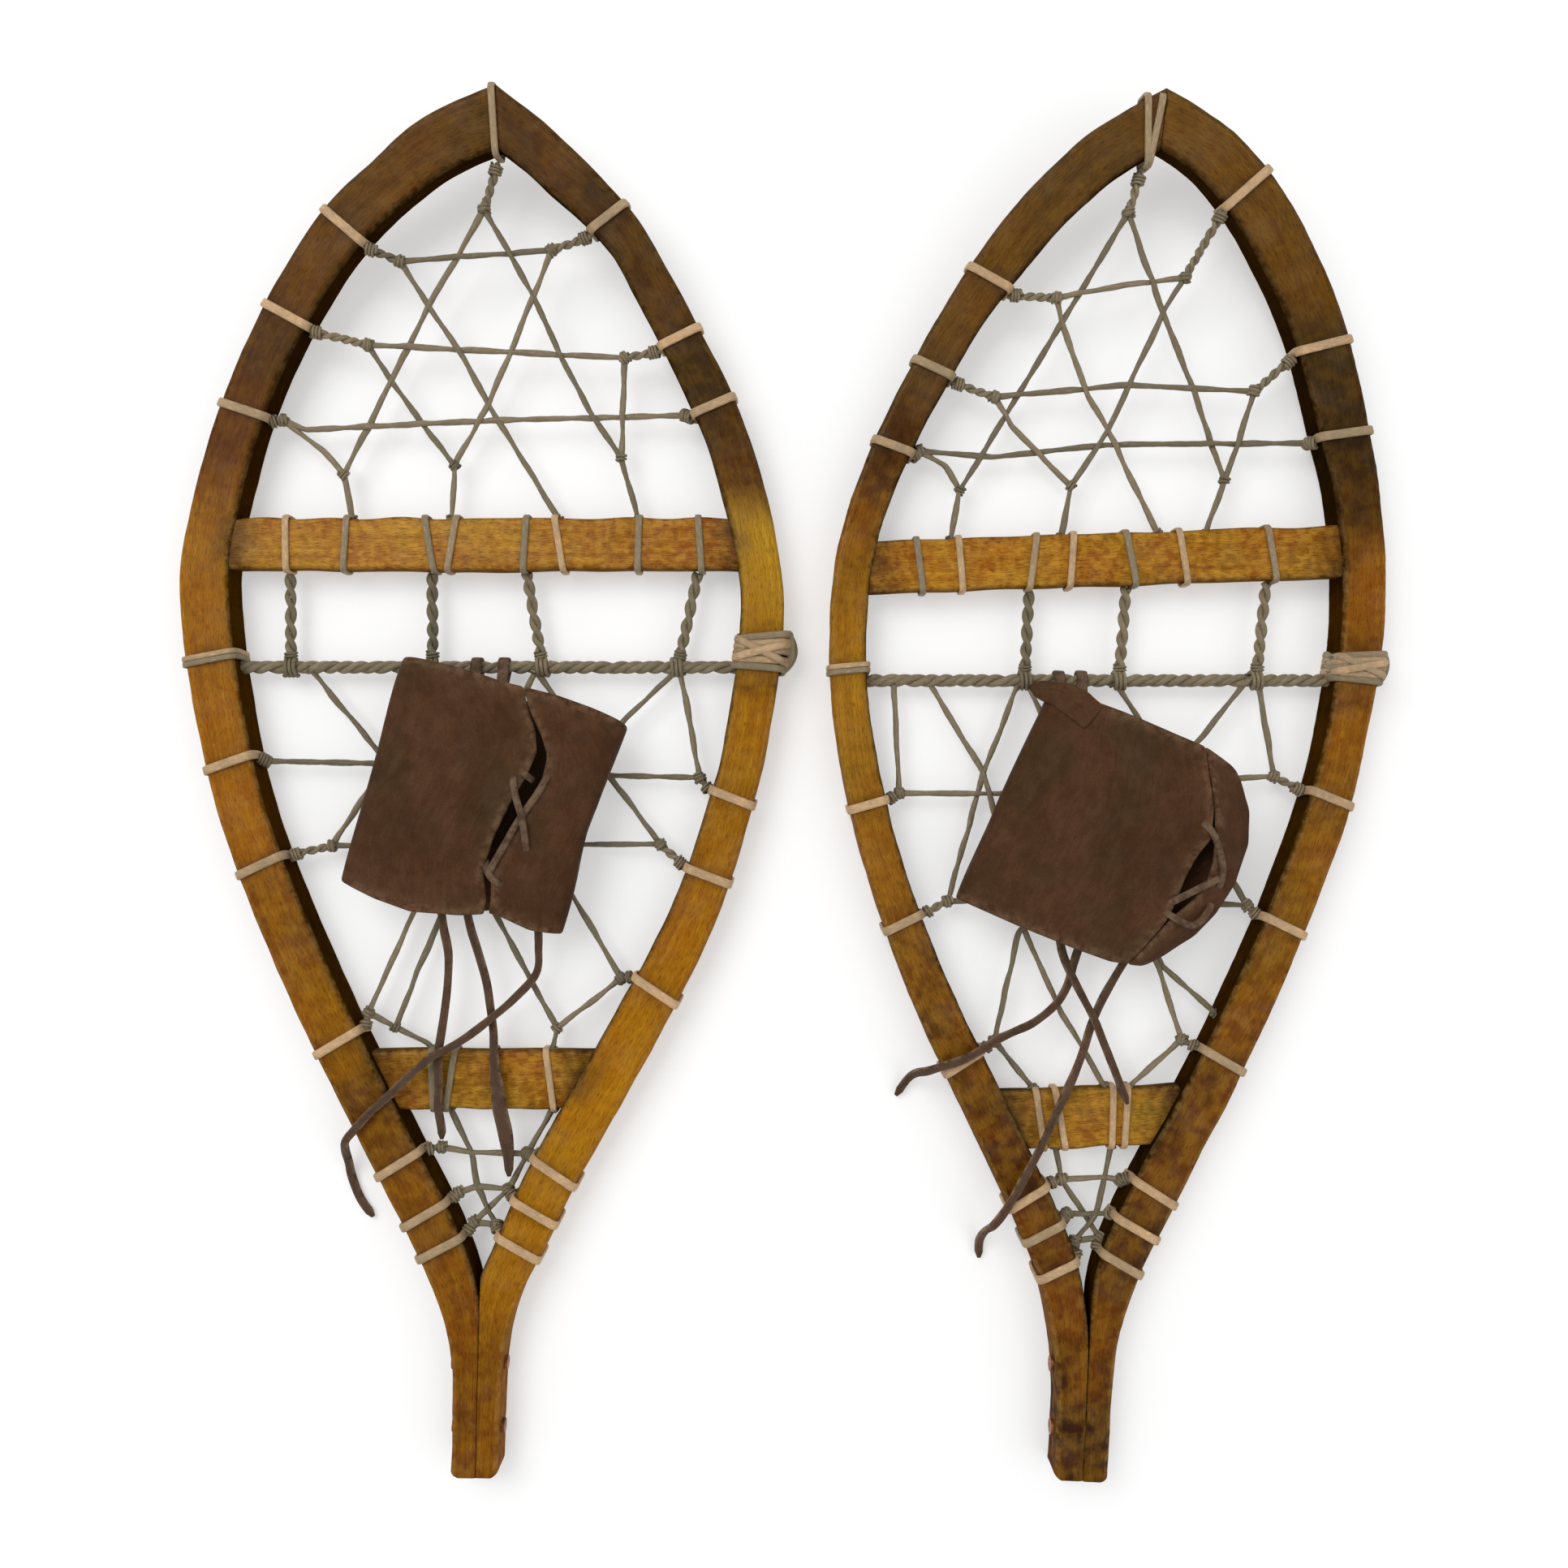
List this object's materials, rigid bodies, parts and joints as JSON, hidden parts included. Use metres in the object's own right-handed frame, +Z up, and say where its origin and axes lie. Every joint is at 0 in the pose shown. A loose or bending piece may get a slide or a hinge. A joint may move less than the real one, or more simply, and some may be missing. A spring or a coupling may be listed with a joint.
{
  "type": "pair of wooden snowshoes",
  "caption": "Pair of pointed-toe wooden snowshoes with rawhide lacing, mortised crossbars, lashed tails and rolled leather bindings with loose thongs.",
  "frame": {"origin": "bottom centre of the pair's box, without the loose thongs: midway between the two shoes, on the surface that they lie on", "axes": "+X to the right shoe, +Y towards the toes, +Z up, with the undersides of the rails on z = 0"},
  "size_m": [0.5328, 0.6043, 0.0459],
  "materials": {
    "rail_wood": "aged clear varnish over bent ash, honey brown, darker at the toe",
    "crossbar_wood": "aged clear varnish, paler and yellower than the rails",
    "rawhide": "dry stretched rawhide, grey-tan, slightly translucent",
    "leather": "soft matt dark brown leather, scuffed at the edges",
    "thong_leather": "narrow dark brown leather thong, dry and creased",
    "copper": "dulled copper rivets"
  },
  "bodies": {
    "left_frame": {"left_outer_rail": "rail_wood", "left_inner_rail": "rail_wood", "left_toe_bar": "crossbar_wood", "left_heel_bar": "crossbar_wood", "left_tail_rivets": "copper", "left_tip_lashing": "rawhide", "left_toe_lacing": "rawhide", "left_toe_hitches": "rawhide", "left_toe_bar_wraps": "rawhide", "left_stays": "rawhide", "left_toe_cord": "rawhide", "left_toe_cord_knot": "rawhide", "left_body_lacing": "rawhide", "left_body_hitches": "rawhide", "left_heel_bar_wraps": "rawhide", "left_tail_lacing": "rawhide", "left_tail_hitches": "rawhide"},
    "left_binding": {"left_sleeve": "leather", "left_sleeve_lace": "thong_leather", "left_toe_tie": "thong_leather", "left_long_thong": "thong_leather", "left_wide_thong": "thong_leather", "left_short_thong": "thong_leather"},
    "right_frame": {"right_outer_rail": "rail_wood", "right_inner_rail": "rail_wood", "right_toe_bar": "crossbar_wood", "right_heel_bar": "crossbar_wood", "right_tail_rivets": "copper", "right_tip_lashing": "rawhide", "right_toe_lacing": "rawhide", "right_toe_hitches": "rawhide", "right_toe_bar_wraps": "rawhide", "right_stays": "rawhide", "right_toe_cord": "rawhide", "right_toe_cord_knot": "rawhide", "right_body_lacing": "rawhide", "right_body_hitches": "rawhide", "right_heel_bar_wraps": "rawhide", "right_tail_lacing": "rawhide", "right_tail_hitches": "rawhide"},
    "right_binding": {"right_sleeve": "leather", "right_sleeve_lace": "thong_leather", "right_toe_tie": "thong_leather", "right_long_thong": "thong_leather", "right_side_thong": "thong_leather", "right_short_thong": "thong_leather"}
  },
  "joints": [
    {"name": "right_shoe_slide", "type": "slide", "parent": "left_frame", "child": "right_frame", "axis": [1, 0, 0], "range_m": [0, 0.15]},
    {"name": "left_binding_lift", "type": "hinge", "parent": "left_frame", "child": "left_binding", "pos_m": [-0.1279, 0.05841, 0.0095], "axis": [-1, 0, 0], "range_deg": [0, 60]},
    {"name": "right_binding_lift", "type": "hinge", "parent": "right_frame", "child": "right_binding", "pos_m": [0.14836, 0.05255, 0.0095], "axis": [-1, 0, 0], "range_deg": [0, 60]}
  ]
}
